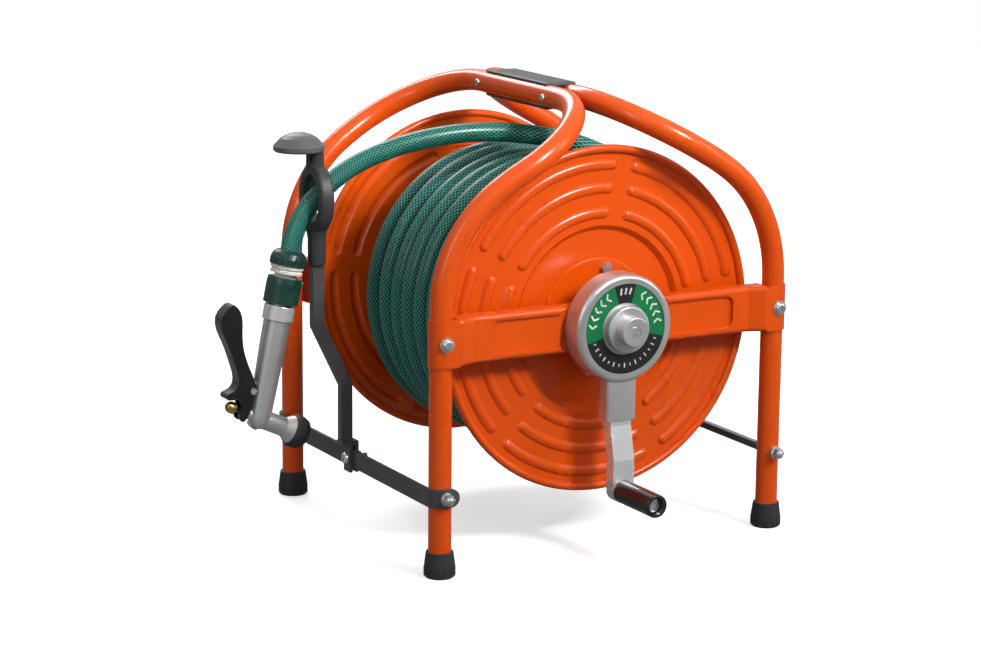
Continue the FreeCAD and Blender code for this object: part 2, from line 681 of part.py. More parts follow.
def hose_clamp():
    centre = (-22.0, OUTLET_Y, AXLE_Z + FIRST_TURN_R)
    band = tube(HOSE_BORE_R + 1.3, HOSE_BORE_R, 9.0, centre, X)
    top = centre[2] + 8.2
    block = box((centre[0], OUTLET_Y - 4, top), (centre[0] + 9, OUTLET_Y + 4, top + 3.2))
    return fused([band, block])


def wound_hose():
    """The wound hose as one closed ring of its outer shape."""
    inside = DRUM_R + COIL_GAP
    edge = WEB_IN - 1.0
    profile = [(inside, -edge), (COIL_R, -edge), (COIL_R, COIL_BACK_Y), (COIL_R - 20, COIL_BACK_Y + 24),
               (COIL_R - 36, edge), (inside, edge)]
    ring = turned(profile)
    ring.rotate(V(0, 0, 0), X, -90)
    ring.translate(V(0, 0, AXLE_Z))
    low, high = AXLE_Z + DRUM_R - 3, AXLE_Z + FIRST_TURN_R + 12.5
    pocket = box((-30.0, OUTLET_Y - 11, low), (10.0, OUTLET_Y + 11, high))
    return ring.cut(pocket)


# ---- crank --------------------------------------------------------------------------------
def crank_housing():
    """Die-cast crank head, made about +Z with its face outwards."""
    deep = HOUSING_FRONT - HOUSING_BACK
    boss, nose = BOSS_FRONT - HOUSING_BACK, NOSE_FRONT - HOUSING_BACK
    body = cylinder(HOUSING_R, deep, (0, 0, 0), Z)
    body = body.makeFillet(5.0, [body.Edges[0]])
    middle = cylinder(BOSS_R, boss, (0, 0, 0), Z)
    middle = middle.makeFillet(1.5, [middle.Edges[0]])
    tip = cylinder(NOSE_R, nose, (0, 0, 0), Z)
    tip = tip.makeFillet(1.2, [tip.Edges[0]])
    body = body.cut(cylinder(LABEL_OUT_R, LABEL_SEAT + 1, (0, 0, deep - LABEL_SEAT), Z))
    shape = fused([body, middle, tip])
    shape = shape.cut(tube(HOUSING_R - 3.0, SHAFT_R + 7.0, deep - 7.0, (0, 0, -0.01), Z))
    shape = shape.cut(cylinder(SHAFT_R, SHAFT_FRONT - HOUSING_BACK + 1.0, (0, 0, -1.0), Z))
    shape = shape.cut(cylinder(STUD_R + STUD_CLEAR, 60, (0, 0, 0), Z))
    shape = shape.cut(cylinder(CRANK_SCREW_R + 0.1, 10, (0, 0, nose - CRANK_SCREW_SEAT), Z))
    return faced(shape, -1, HOUSING_BACK)


def crank_neck():
    """The socket below the crank head that holds the arm."""
    neck = box((-NECK_W / 2, -NECK_FRONT, NECK_Z), (NECK_W / 2, -NECK_BACK, AXLE_Z - HOUSING_R + 8))
    upright = [e for e in neck.Edges
               if abs(e.tangentAt(e.FirstParameter).z) > 0.9 and e.CenterOfMass.y < -NECK_FRONT + 1]
    neck = neck.makeFillet(3.0, upright)
    fit = ARM_W / 2 + 0.05
    socket = box((-fit, -ARM_UPPER_FRONT, NECK_Z - 1), (fit, -NECK_BACK + 1, AXLE_Z - HOUSING_R - 2))
    return neck.cut(socket)


def crank_head():
    disc_part = crank_housing()
    neck = crank_neck().cut(cylinder(HOUSING_R - 3.0, 60, (0, -HOUSING_BACK - 54.4, AXLE_Z), Y))
    whole = fused([disc_part, neck])
    return max(whole.Solids, key=lambda s: s.Volume)


def crank_label():
    ring = tube(LABEL_OUT_R - 0.1, LABEL_IN_R, LABEL_T, (0, 0, 0), Z)
    return faced(ring, -1, HOUSING_FRONT - LABEL_SEAT)


def crank_screw():
    seat = NOSE_FRONT - CRANK_SCREW_SEAT
    screw = pan_screw(CRANK_SCREW_R, 2.2, STUD_R, seat - SHAFT_FRONT + 16)
    return faced(screw, -1, seat)


def crank_arm():
    """Flat steel arm with a step outwards and a rounded end."""
    top = AXLE_Z - HOUSING_R - 3.0
    up, low = -ARM_UPPER_FRONT, -ARM_LOWER_FRONT
    end = CRANK_GRIP_Z
    side = [(up, top), (up, ARM_BEND_HIGH), (low, ARM_BEND_LOW), (low, end),
            (low + ARM_T, end), (low + ARM_T, ARM_BEND_LOW), (up + ARM_T, ARM_BEND_HIGH), (up + ARM_T, top)]
    corners = [V(-ARM_W / 2, y, z) for y, z in side]
    bar = Part.Face(Part.makePolygon(corners + [corners[0]])).extrude(V(ARM_W, 0, 0))
    round_end = cylinder(ARM_W / 2, ARM_T, (0, low, end), Y)
    shape = fused([bar, round_end])
    return shape.cut(cylinder(CRANK_PIN_R, 40, (0, low - 5, end), Y))


def grip_pin():
    start = -ARM_LOWER_FRONT + ARM_T
    length = ARM_T + CRANK_GRIP_L - PIN_SUNK
    pin = cylinder(CRANK_PIN_R, length, (0, start, CRANK_GRIP_Z), V(0, -1, 0))
    head = cylinder(PIN_HEAD_R, 2.5, (0, start - length, CRANK_GRIP_Z), V(0, -1, 0))
    rivet = cylinder(7.0, 1.6, (0, start, CRANK_GRIP_Z), Y)
    return fused([pin, head, rivet])


def crank_grip():
    start = ARM_LOWER_FRONT + 0.5
    body = cylinder(CRANK_GRIP_R, CRANK_GRIP_L - 0.5, (0, -start, CRANK_GRIP_Z), V(0, -1, 0))
    body = body.makeFillet(1.5, body.Edges[0:1])
    body = body.cut(cylinder(CRANK_PIN_R + RUN_CLEAR, 100, (0, -start + 1, CRANK_GRIP_Z), V(0, -1, 0)))
    mouth = CRANK_GRIP_L - PIN_SUNK - 0.3
    start = (0, -ARM_LOWER_FRONT - mouth, CRANK_GRIP_Z)
    return body.cut(cylinder(PIN_HEAD_R + 1.0, 20, start, V(0, -1, 0)))


# ---- water inlet at the back --------------------------------------------------------------
def inlet_housing():
    plate = box((-30, SEAT_Y, AXLE_Z - 19), (30, SEAT_Y + 3, AXLE_Z + 19))
    upright = [e for e in plate.Edges if abs(e.tangentAt(e.FirstParameter).y) > 0.9]
    plate = plate.makeFillet(6.0, upright)
    body = cylinder(INLET_R, INLET_BACK - SEAT_Y, (0, SEAT_Y, AXLE_Z), Y)
    body = body.makeFillet(2.0, [body.Edges[0]])
    shape = fused([plate, body])
    shape = shape.cut(cylinder(BUSH_R + 0.2, 1.2, (0, SEAT_Y - 0.1, AXLE_Z), Y))
    shape = shape.cut(cylinder(SHAFT_R + RUN_CLEAR, SHAFT_BACK + 1.0 - SEAT_Y, (0, SEAT_Y, AXLE_Z), Y))
    shape = shape.cut(cylinder(8.0, 40, (0, SEAT_Y, AXLE_Z), Y))
    for x in (-INLET_SCREW_X, INLET_SCREW_X):
        shape = shape.cut(cylinder(SMALL_HOLE_R, 20, (x, SEAT_Y - 5, AXLE_Z), Y))
    return shape


def inlet_nipple():
    shape = fused([cylinder(8.0, INLET_BACK - SHAFT_BACK - 1.5, (0, SHAFT_BACK + 1.5, AXLE_Z), Y),
                   aimed(hexagon(22.0, 8.0), (0, INLET_BACK, AXLE_Z), Y),
                   cylinder(NIPPLE_R, NIPPLE_L, (0, INLET_BACK + 8.0, AXLE_Z), Y)])
    return shape.cut(cylinder(4.8, 80, (0, SHAFT_BACK, AXLE_Z), Y))


def inlet_screws():
    out = []
    for x in (-INLET_SCREW_X, INLET_SCREW_X):
        out.append(aimed(pan_screw(3.8, 2.4, SMALL_SCREW_R, 9.0), (x, SEAT_Y + 3.0, AXLE_Z), Y))
    return group(out)


# ---- hose guide lever ---------------------------------------------------------------------
def guide_post():
    """Fork over the flat bar with the cranked post on top of it."""
    bar_out = -(LEG_X + TUBE_R) - BAR_T
    bar_in = -(LEG_X + TUBE_R)
    half = 7.0
    near, far = bar_in + BRACKET_GAP, bar_out - BRACKET_GAP
    left, right = GUIDE_Y - half, GUIDE_Y + half
    inner = box((near, left, BRACKET_LOW), (near + BRACKET_T, right, BRACKET_TOP))
    outer = box((far - BRACKET_T, left, BRACKET_LOW), (far, right, BRACKET_TOP))
    crown = box((POST_X - POST_T / 2, left, BRACKET_TOP), (near + BRACKET_T, right, BRACKET_TOP + 4))
    t = POST_T / 2
    side = [(POST_X - t, BRACKET_TOP), (POST_X + t, BRACKET_TOP), (POST_X + t, POST_BEND_LOW + 2),
            (POST_OUT_X + t, POST_BEND_HIGH + 2), (POST_OUT_X + t, POST_TOP), (POST_OUT_X - t, POST_TOP),
            (POST_OUT_X - t, POST_BEND_HIGH - 2), (POST_X - t, POST_BEND_LOW - 2)]
    corners = [V(x, GUIDE_Y - POST_W / 2, z) for x, z in side]
    post = Part.Face(Part.makePolygon(corners + [corners[0]])).extrude(V(0, POST_W, 0))
    shape = fused([inner, outer, crown, post])
    return shape.cut(cylinder(PIVOT_R + RUN_CLEAR, 60, (POST_X - 22, GUIDE_Y, BAR_Z), X))


def pivot_bolt():
    bar_out = -(LEG_X + TUBE_R) - BAR_T
    seat = bar_out - BRACKET_GAP - BRACKET_T - 0.3
    bolt = pan_screw(6.0, 4.0, PIVOT_R, 22.0)
    return aimed(bolt, (seat, GUIDE_Y, BAR_Z), V(-1, 0, 0))


def oval(half_w, half_h, thick):
    """An upright oval plate across the hose, thick along X, centred on the loop."""
    curve = Part.Ellipse(V(0, 0, 0), max(half_w, half_h), min(half_w, half_h))
    plate = Part.Face(Part.Wire(curve.toShape())).extrude(V(0, 0, thick))
    plate.rotate(V(0, 0, 0), Y, 90)
    if half_h < half_w:
        plate.rotate(V(0, 0, 0), X, 90)
    plate.translate(V(POST_OUT_X - thick / 2, GUIDE_Y, LOOP_Z))
    return plate


def guide_loop():
    outer = oval(LOOP_HOLE_W + LOOP_RIM, LOOP_HOLE_H + LOOP_RIM, LOOP_T)
    outer = outer.makeFillet(3.8, outer.Edges)
    hole = oval(LOOP_HOLE_W, LOOP_HOLE_H, LOOP_T + 4)
    ring = outer.cut(hole)
    mouth = [e for e in ring.Edges
             if e.BoundBox.XLength < 0.1 and e.BoundBox.YLength < 2 * LOOP_HOLE_W + 0.5]
    ring = ring.makeFillet(3.6, mouth)
    socket = turned([(0, 0), (9.0, 0), (9.0, 26), (11.0, 36), (0, 36)])
    socket = aimed(socket, (POST_OUT_X, GUIDE_Y, POST_TOP - 20), Z)
    stem_z = LOOP_Z + LOOP_HOLE_H + LOOP_RIM - 3
    stem = cylinder(8.8, KNOB_Z + 1.0 - stem_z, (POST_OUT_X - 1.5, GUIDE_Y, stem_z), Z)
    shape = fused([ring, socket.cut(oval(LOOP_HOLE_W + 3, LOOP_HOLE_H + 3, 40)), stem])
    fit = 0.05
    shape = shape.cut(box((POST_OUT_X - POST_T / 2 - fit, GUIDE_Y - POST_W / 2 - fit, POST_TOP - 30),
                          (POST_OUT_X + POST_T / 2 + fit, GUIDE_Y + POST_W / 2 + fit, POST_TOP)))
    groove = box((POST_OUT_X - 20, GUIDE_Y - 9.5, stem_z + 5),
                 (POST_OUT_X - 7.0, GUIDE_Y - 3.5, KNOB_Z - 0.5))
    return shape.cut(groove)


def guide_knob():
    rim = 6.5
    dome = turned([(0, 0), (KNOB_R - 1.5, 0), (KNOB_R, 1.5), (KNOB_R, rim - 1), (KNOB_R - 1, rim),
                   (KNOB_R - 3, rim + 2.2), (KNOB_R * 0.72, rim + 6.5), (KNOB_R * 0.5, rim + 9.6),
                   (KNOB_R * 0.25, rim + 11.6), (0, rim + 12.2)])
    knob = aimed(dome, (KNOB_X, GUIDE_Y, KNOB_Z + 1.0), Z)
    return knob


# ---- connector and nozzle, made about the hose's end --------------------------------------
# Local frame: +Z runs down from the connector's top along the grip, +X points away from the cart.
def hung(shape):
    out = shape.copy()
    out.rotate(V(0, 0, 0), Y, 180 + HANG_TILT)
    out.translate(V(*NUT_TOP))
    return out


BARREL_AXIS = V(-math.cos(math.radians(BARREL_TURN)), 0, math.sin(math.radians(BARREL_TURN)))
STEM_AXIS = V(math.cos(math.radians(BARREL_TURN)), 0, -math.sin(math.radians(BARREL_TURN)))


def along_stem(distance):
    return (STEM_AXIS.x * distance, 0, ELBOW_Z + STEM_AXIS.z * distance)


def along_barrel(distance):
    return (BARREL_AXIS.x * distance, 0, ELBOW_Z + BARREL_AXIS.z * distance)


def connector_nut():
    body = turned([(0, 0), (12.5, 0), (16.0, 3.0), (17.8, 8.0), (17.8, 14.5), (0, 14.5)])
    for i in range(8):
        a = 45.0 * i
        cut = cylinder(2.2, 20, (19.2, 0, 3.0), Z)
        cut.rotate(V(0, 0, 0), Z, a)
        body = body.cut(cut)
    body = body.cut(cylinder(HOSE_D / 2 + 0.1, 8.2, (0, 0, -0.1), Z))
    return hung(body.cut(cylinder(HOSE_BORE_R, 40, (0, 0, 0), Z)))


def connector_core():
    body = turned([(6.0, 8.2), (7.4, 8.2), (7.4, 14.6), (16.2, 14.6), (16.2, 17.6), (14.8, 18.4),
                   (14.8, 20.0), (16.0, 20.6), (16.0, 22.6), (11.0, 22.6), (11.0, 50.0), (6.0, 50.0)])
    return hung(body)


def release_sleeve():
    body = turned([(11.1, 26.9), (16.6, 26.9), (17.3, 32), (17.4, 52.5), (11.1, 52.5)])
    for side in (-1, 1):
        body = body.cut(cylinder(7.0, 4.0, (0, side * 16.2, 43.0), V(0, side, 0)))
    return hung(body)


def nozzle_collar():
    body = turned([(11.1, 54.6), (15.0, 54.6), (15.3, 55.4), (15.3, 68.6), (14.6, 69.4), (9.0, 69.4),
                   (9.0, 60.0), (11.1, 60.0)])
    return hung(body)


def nozzle_body():
    grip = turned([(0, 50.2), (8.9, 50.2), (8.9, 69.5), (13.4, 69.5), (13.2, 90), (12.2, 130),
                   (ELBOW_R, ELBOW_Z), (0, ELBOW_Z)])
    elbow = Part.makeSphere(ELBOW_R, V(0, 0, ELBOW_Z))
    barrel = cylinder(BARREL_R, 30.0, along_barrel(0), BARREL_AXIS)
    flare = Part.makeCone(BARREL_R, 14.0, 8.0, V(*along_barrel(28.0)), BARREL_AXIS)
    lip = cylinder(10.5, 16.0, along_barrel(35.9), BARREL_AXIS)
    lug = box((6.0, -3.4, LEVER_PIN[1] - 8.0), (LEVER_PIN[0] + 4.5, 3.4, LEVER_PIN[1] + 7.0))
    guide = cylinder(5.5, 6.0, along_stem(9.0), STEM_AXIS)
    shape = fused([grip, elbow, barrel, flare, lip, lug, guide])
    shape = shape.cut(cylinder(5.8, ELBOW_Z - 50.0, (0, 0, 50.0), Z))
    shape = shape.cut(cylinder(6.0, 46.0, along_barrel(0), BARREL_AXIS))
    shape = shape.cut(cylinder(OUTLET_BORE_R, 60.0, along_barrel(0), BARREL_AXIS))
    shape = shape.cut(cylinder(STEM_R + RUN_CLEAR, 30.0, along_stem(0), STEM_AXIS))
    shape = shape.cut(cylinder(VALVE_R + 0.3, 11.5, along_stem(0), STEM_AXIS))
    shape = shape.cut(cylinder(LEVER_PIN_R, 40.0, (LEVER_PIN[0], -20, LEVER_PIN[1]), Y))
    return hung(shape)


def nozzle_bumper():
    body = turned([(10.5, 0), (15.0, 0), (16.4, 2.5), (16.4, 10.0), (14.5, 15.0), (12.0, 16.5), (10.5, 16.5)])
    return hung(aimed(body, along_barrel(36.0), BARREL_AXIS))


def lever_outline():
    """The side view of the lever: a broad paddle, a waist, a small thumb hook and the lower lobe."""
    return [(50.5, 59.5), (42.5, 67.5), (37.5, 87.0), (33.5, 100.5), (26.5, 114.0), (17.0, 128.5),
            (12.8, 137.5), (13.2, 148.0), (14.0, 158.0), (16.5, 167.0), (20.5, 172.0), (24.5, 168.5),
            (25.3, 160.0), (26.5, 152.5), (33.0, 151.3), (41.7, 151.0), (42.3, 148.5), (36.5, 143.5),
            (32.5, 136.0), (33.5, 129.5), (39.0, 118.5), (51.0, 98.5), (60.0, 85.0), (62.5, 75.0),
            (57.5, 63.5)]


def trigger_lever():
    points = [V(x, -LEVER_W / 2, z) for x, z in lever_outline()]
    curve = Part.BSplineCurve()
    curve.interpolate(points, PeriodicFlag=True)
    body = Part.Face(Part.Wire(curve.toShape())).extrude(V(0, LEVER_W, 0))
    slot = box((5.0, -3.9, 125.0), (40.0, 3.9, 180.0))
    body = body.cut(slot.cut(box((29.0, -4, 120), (50, 4, 153.0))))
    body = body.cut(cylinder(LEVER_PIN_R + RUN_CLEAR, 40.0, (LEVER_PIN[0], -20, LEVER_PIN[1]), Y))
    return hung(max(body.Solids, key=lambda s: s.Volume))


def trigger_pin():
    pin = cylinder(LEVER_PIN_R, 17.0, (LEVER_PIN[0], -8.5, LEVER_PIN[1]), Y)
    heads = [cylinder(3.2, 1.2, (LEVER_PIN[0], y, LEVER_PIN[1]), Y) for y in (-9.6, 8.4)]
    return hung(fused([pin] + heads))


def valve_stem():
    rod = cylinder(STEM_R, 30.0, along_stem(6.0), STEM_AXIS)
    plug = cylinder(VALVE_R, 3.0, along_stem(3.5), STEM_AXIS)
    return hung(fused([rod, plug]))


def valve_knob():
    """Round brass nut on the stem's outer end."""
    body = turned([(STEM_R, 0), (4.4, 0), (5.8, 1.6), (6.0, 5.0), (5.0, 8.2), (2.6, 10.0), (STEM_R, 10.0)])
    return hung(aimed(body, along_stem(28.4), STEM_AXIS))


def hold_clip():
    """Bent steel clip round the elbow that holds the lever open."""
    inner = ELBOW_R + 0.05
    band = tube(inner + 1.2, inner, 7.0, (0, -3.5, ELBOW_Z), Y)
    rays = [V(0, -4, ELBOW_Z)]
    for turn in (22, 50, 80):
        a = math.radians(turn)
        rays.append(V(40 * math.cos(a), -4, ELBOW_Z + 40 * math.sin(a)))
    wedge = Part.Face(Part.makePolygon(rays + [rays[0]])).extrude(V(0, 8, 0))
    return hung(band.common(wedge))


# ---- free hose ----------------------------------------------------------------------------
def free_hose():
    """Two tubes that meet in the run after HOSE_SPLIT: one lies on the cart, one in the guide."""
    wire, radii = rounded_path(HOSE_ROUTE)
    edges = wire.Edges
    crossing = edges[2 * HOSE_SPLIT]
    start, end = crossing.valueAt(crossing.FirstParameter), crossing.valueAt(crossing.LastParameter)
    along = end.sub(start).normalize()
    middle = start.add(end).multiply(0.5)
    before = middle.sub(V(along).multiply(HOSE_GAP / 2))
    after = middle.add(V(along).multiply(HOSE_GAP / 2))
    near = Part.Wire(edges[:2 * HOSE_SPLIT] + [Part.LineSegment(start, before).toShape()])
    far = Part.Wire([Part.LineSegment(after, end).toShape()] + edges[2 * HOSE_SPLIT + 1:])
    tubes = [swept(near, HOSE_D / 2), swept(far, HOSE_D / 2)]
    section = math.pi * (HOSE_D / 2) ** 2
    print("free hose length", round(wire.Length, 1), "volume ratios",
          [round(t.Volume / (section * w.Length), 4) for t, w in zip(tubes, (near, far))])
    print("free hose radii", [round(r, 1) for r in radii])
    return tubes


# ---- assembly -----------------------------------------------------------------------------
def build():
    hose_near, hose_far = free_hose()
    front_beam = cross_member()
    rear_beam = mirrored_y(front_beam)
    for x in (-INLET_SCREW_X, INLET_SCREW_X):
        rear_beam = rear_beam.cut(cylinder(SMALL_HOLE_R, 30, (x, SEAT_Y - 15, AXLE_Z), Y))
    nodes = {
        "left_hoop": hoop(-1),
        "right_hoop": hoop(1),
        "front_cross_member": front_beam,
        "rear_cross_member": rear_beam,
        "cross_member_screws": beam_screws(),
        "frame_nuts": frame_nuts(),
        "flat_bar": flat_bar(),
        "flat_bar_bolts": bar_bolts(),
        "tie_rod": tie_rod(),
        "tie_rod_nuts": rod_nuts(),
        "acorn_nuts": acorn_nuts(),
        "grip_upper_shell": grip_shell(1),
        "grip_lower_shell": grip_shell(-1),
        "grip_screws": grip_screws(),
        "handle_screws": group(handle_screws()[0::2]),
        "handle_nuts": group(handle_screws()[1::2]),
        "front_bush": bearing_bush(-1),
        "rear_bush": bearing_bush(1),
        "inlet_housing": inlet_housing(),
        "inlet_nipple": inlet_nipple(),
        "inlet_screws": inlet_screws(),
        "guide_pivot_bolt": pivot_bolt(),
        "front_disc": disc(-1),
        "rear_disc": disc(1),
        "front_hub": hub(-1),
        "rear_hub": hub(1),
        "drum": drum(),
        "disc_bolts": disc_bolts(),
        "disc_nuts": disc_nuts(),
        "reel_shaft": reel_shaft(),
        "shaft_seals": shaft_seals(),
        "drum_outlet": drum_outlet(),
        "hose_clamp": hose_clamp(),
        "wound_hose": wound_hose(),
        "crank_head": crank_head(),
        "crank_label": crank_label(),
        "crank_screw": crank_screw(),
        "crank_arm": crank_arm(),
        "crank_grip_pin": grip_pin(),
        "crank_grip": crank_grip(),
        "guide_post": guide_post(),
        "guide_loop": guide_loop(),
        "guide_knob": guide_knob(),
        "free_hose_cart_side": hose_near,
        "free_hose_guide_side": hose_far,
        "connector_nut": connector_nut(),
        "connector_core": connector_core(),
        "connector_release_sleeve": release_sleeve(),
        "nozzle_collar": nozzle_collar(),
        "nozzle_body": nozzle_body(),
        "nozzle_bumper": nozzle_bumper(),
        "trigger_lever": trigger_lever(),
        "trigger_pin": trigger_pin(),
        "valve_stem": valve_stem(),
        "valve_knob": valve_knob(),
        "lever_hold_clip": hold_clip(),
    }
    corners = {"front": -1, "rear": 1}
    sides = {"left": -1, "right": 1}
    for end_name, end in corners.items():
        for side_name, side in sides.items():
            nodes["foot_" + end_name + "_" + side_name] = foot(side * LEG_X, end * LEG_Y)
    return nodes


ON_HOSE = ("wound_hose", "free_hose", "connector", "nozzle", "trigger", "valve", "lever_hold", "hose_clamp")


def base_shift(nodes):
    """Moves the middle of the cart's footprint, without the hose and what hangs on it, to the origin."""
    cart = FreeCAD.BoundBox()
    for name, shape in nodes.items():
        if not name.startswith(ON_HOSE):
            cart.add(shape.optimalBoundingBox(False))
    return V(-cart.Center.x, -cart.Center.y, -cart.ZMin)


def main():
    nodes = build()
    shift = base_shift(nodes)
    print("shift", round(shift.x, 3), round(shift.y, 3), round(shift.z, 3))
    for name, shape in nodes.items():
        shape.translate(shift)
        shape.exportStep("parts/" + name + ".step")
    return nodes, shift


if __name__ == "__main__":
    main()
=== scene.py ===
# %% [markdown]
# A garden hose reel cart: two bent steel hoops, a pressed drum with a hose wound on it, a crank,
# a swinging hose guide and a lever nozzle.  The imported model gives every hard part its shape and
# its place, so this lesson starts by loading it.

# %% Load the frame
import json
import math
import bmesh
import bpy
from mathutils import Matrix, Vector


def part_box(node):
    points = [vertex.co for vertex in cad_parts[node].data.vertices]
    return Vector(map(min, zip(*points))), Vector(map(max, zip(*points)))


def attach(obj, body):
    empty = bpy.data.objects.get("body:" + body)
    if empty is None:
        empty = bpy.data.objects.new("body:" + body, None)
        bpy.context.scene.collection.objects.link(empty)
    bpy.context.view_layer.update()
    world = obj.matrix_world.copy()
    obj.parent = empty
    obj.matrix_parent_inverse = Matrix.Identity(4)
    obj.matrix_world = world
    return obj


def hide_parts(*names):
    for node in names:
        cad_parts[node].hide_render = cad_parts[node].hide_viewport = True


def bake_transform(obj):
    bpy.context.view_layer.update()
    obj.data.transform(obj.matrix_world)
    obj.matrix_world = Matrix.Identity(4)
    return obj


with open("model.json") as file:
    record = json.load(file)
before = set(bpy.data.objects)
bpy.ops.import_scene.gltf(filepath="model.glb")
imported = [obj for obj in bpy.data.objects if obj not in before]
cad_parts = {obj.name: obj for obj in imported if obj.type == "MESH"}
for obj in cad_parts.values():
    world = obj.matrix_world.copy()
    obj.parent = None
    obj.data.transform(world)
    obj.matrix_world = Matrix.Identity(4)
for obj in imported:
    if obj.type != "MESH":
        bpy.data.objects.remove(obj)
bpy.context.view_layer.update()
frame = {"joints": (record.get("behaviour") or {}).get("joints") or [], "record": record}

joints = {joint["name"]: joint for joint in frame["joints"]}

# %% [markdown]
# Where things are.  The hinge of the reel gives the axle, and the origin of the drawing lies below
# the middle of the four feet.  Everything later is placed from these two.

# %% Axle and middle of the cart
axle = Vector(joints["reel_spin"]["pos_m"])
middle = Vector((axle.x, axle.y, 0.0))
print("axle", [round(c, 4) for c in axle])


def at(x, y, z):
    """A point from millimetres measured from the middle of the feet, in metres."""
    return middle + Vector((x, y, z)) / 1000


# %% [markdown]
# The camera stands to the front left, a little above the reel, with a long lens, as in a
# catalogue picture.  A long lens from far away keeps the two discs nearly the same size.

# %% Camera
LENS_MM, SENSOR_MM = 100.43, 36.0
CAMERA_TURN = (0.51041, 0.21475, 0.009572)    # yaw, pitch and roll, in radians
CAMERA_PLACE = (-1373.2, -2375.5, 791.4)      # millimetres from the middle of the feet
CLIP_END = 50                                 # metres

camera = bpy.data.objects.new("camera", bpy.data.cameras.new("camera"))
bpy.context.scene.collection.objects.link(camera)
camera.data.lens = LENS_MM
camera.data.sensor_width = SENSOR_MM
yaw, pitch, roll = CAMERA_TURN
ahead = Vector((math.sin(yaw) * math.cos(pitch), math.cos(yaw) * math.cos(pitch),
                -math.sin(pitch)))
side = ahead.cross(Vector((0, 0, 1))).normalized()
up = side.cross(ahead)
side_rolled = side * math.cos(roll) + up * math.sin(roll)
up_rolled = up * math.cos(roll) - side * math.sin(roll)
turn = Matrix((side_rolled, up_rolled, -ahead)).transposed().to_4x4()
camera.matrix_world = Matrix.Translation(at(*CAMERA_PLACE)) @ turn
camera.data.clip_end = CLIP_END
bpy.context.scene.camera = camera
print("camera at", [round(c, 3) for c in camera.location])

# %% [markdown]
# The floor and the world look white to the camera, as a studio table does.  To the parts
# themselves the floor is dark and the world is bright only overhead: that keeps the shaded sides
# deep in colour and the paint free of a milky veil.

# %% Floor and world
FLOOR_SIZE = 30           # metres
WHITE = (1, 1, 1, 1)

floor_mesh = bpy.data.meshes.new("studio_floor")
shape = bmesh.new()
bmesh.ops.create_grid(shape, x_segments=1, y_segments=1, size=FLOOR_SIZE)
shape.to_mesh(floor_mesh)
shape.free()
studio_floor = bpy.data.objects.new("studio_floor", floor_mesh)
bpy.context.scene.collection.objects.link(studio_floor)
floor_paint = bpy.data.materials.new("studio_floor")
floor_paint.use_nodes = True
tree = floor_paint.node_tree
floor_seen = tree.nodes.new("ShaderNodeLightPath")


def by_camera(tree, seen, unseen, shown):
    """A value that differs between what the camera sees and what lights the parts."""
    choice = tree.nodes.new("ShaderNodeMapRange")
    choice.inputs["To Min"].default_value = unseen
    choice.inputs["To Max"].default_value = shown
    tree.links.new(seen.outputs["Is Camera Ray"], choice.inputs["Value"])
    return choice.outputs["Result"]


floor_shader = tree.nodes["Principled BSDF"]
tree.links.new(by_camera(tree, floor_seen, 0.20, 0.90), floor_shader.inputs["Base Color"])
tree.links.new(by_camera(tree, floor_seen, 0.0, 0.50), floor_shader.inputs["Emission Strength"])
floor_shader.inputs["Emission Color"].default_value = WHITE
floor_shader.inputs["Roughness"].default_value = 0.8
floor_shader.inputs["Specular IOR Level"].default_value = 0.1
floor_mesh.materials.append(floor_paint)

world = bpy.data.worlds.new("studio")
bpy.context.scene.world = world
bpy.context.scene.view_settings.view_transform = "Standard"
world.use_nodes = True
tree = world.node_tree
world_seen = tree.nodes.new("ShaderNodeLightPath")
towards = tree.nodes.new("ShaderNodeTexCoord")
height = tree.nodes.new("ShaderNodeSeparateXYZ")
tree.links.new(towards.outputs["Generated"], height.inputs["Vector"])
sky = tree.nodes.new("ShaderNodeMapRange")
for label, value in (("From Min", -0.5), ("From Max", 0.9), ("To Min", 0.08), ("To Max", 0.66)):
    sky.inputs[label].default_value = value
tree.links.new(height.outputs["Z"], sky.inputs["Value"])
brightness = tree.nodes.new("ShaderNodeMix")
tree.links.new(world_seen.outputs["Is Camera Ray"], brightness.inputs["Factor"])
tree.links.new(sky.outputs["Result"], brightness.inputs["A"])
brightness.inputs["B"].default_value = 1.0
tree.links.new(brightness.outputs["Result"], tree.nodes["Background"].inputs["Strength"])
tree.nodes["Background"].inputs["Color"].default_value = WHITE
print("floor and world", floor_paint.name, world.name)

# %% [markdown]
# Four area lights shape the tubes: a narrow key from the upper right in front, a tall one on the
# left, a fill on the right, and one from behind that draws bright lines along the rims.

# %% Lights
def area_light(name, place, target, size, power, spread=180):
    """A rectangular light aimed at a target; the spread is in degrees."""
    data = bpy.data.lights.new(name, "AREA")
    data.shape = "RECTANGLE"
    data.size, data.size_y = size
    data.energy = power
    data.spread = math.radians(spread)
    lamp = bpy.data.objects.new(name, data)
    lamp.location = place
    lamp.rotation_euler = (Vector(target) - Vector(place)).to_track_quat("-Z", "Y").to_euler()
    bpy.context.scene.collection.objects.link(lamp)


area_light("key", (0.75, -2.1, 1.9), (0.05, 0, 0.54), (0.6, 0.7), 3.7, 34)
area_light("left", (-2.2, -1.3, 1.3), (0, 0, 0.3), (0.5, 1.2), 9)
area_light("fill", (2.3, -1.6, 1.2), (0, 0, 0.3), (0.5, 1.4), 12)
area_light("rim", (0.3, 2.2, 2.0), (0, 0, 0.3), (1.6, 0.6), 34)

# %% [markdown]
# Two effects are shared by several finishes, so each is a node group.  "fine_grain" makes a small
# uneven height for bumps, and a slow mask that varies colour and roughness.  "dust" is a mask that
# grows on faces that look up, broken up with noise.  Three small helpers make nodes that the
# materials share.

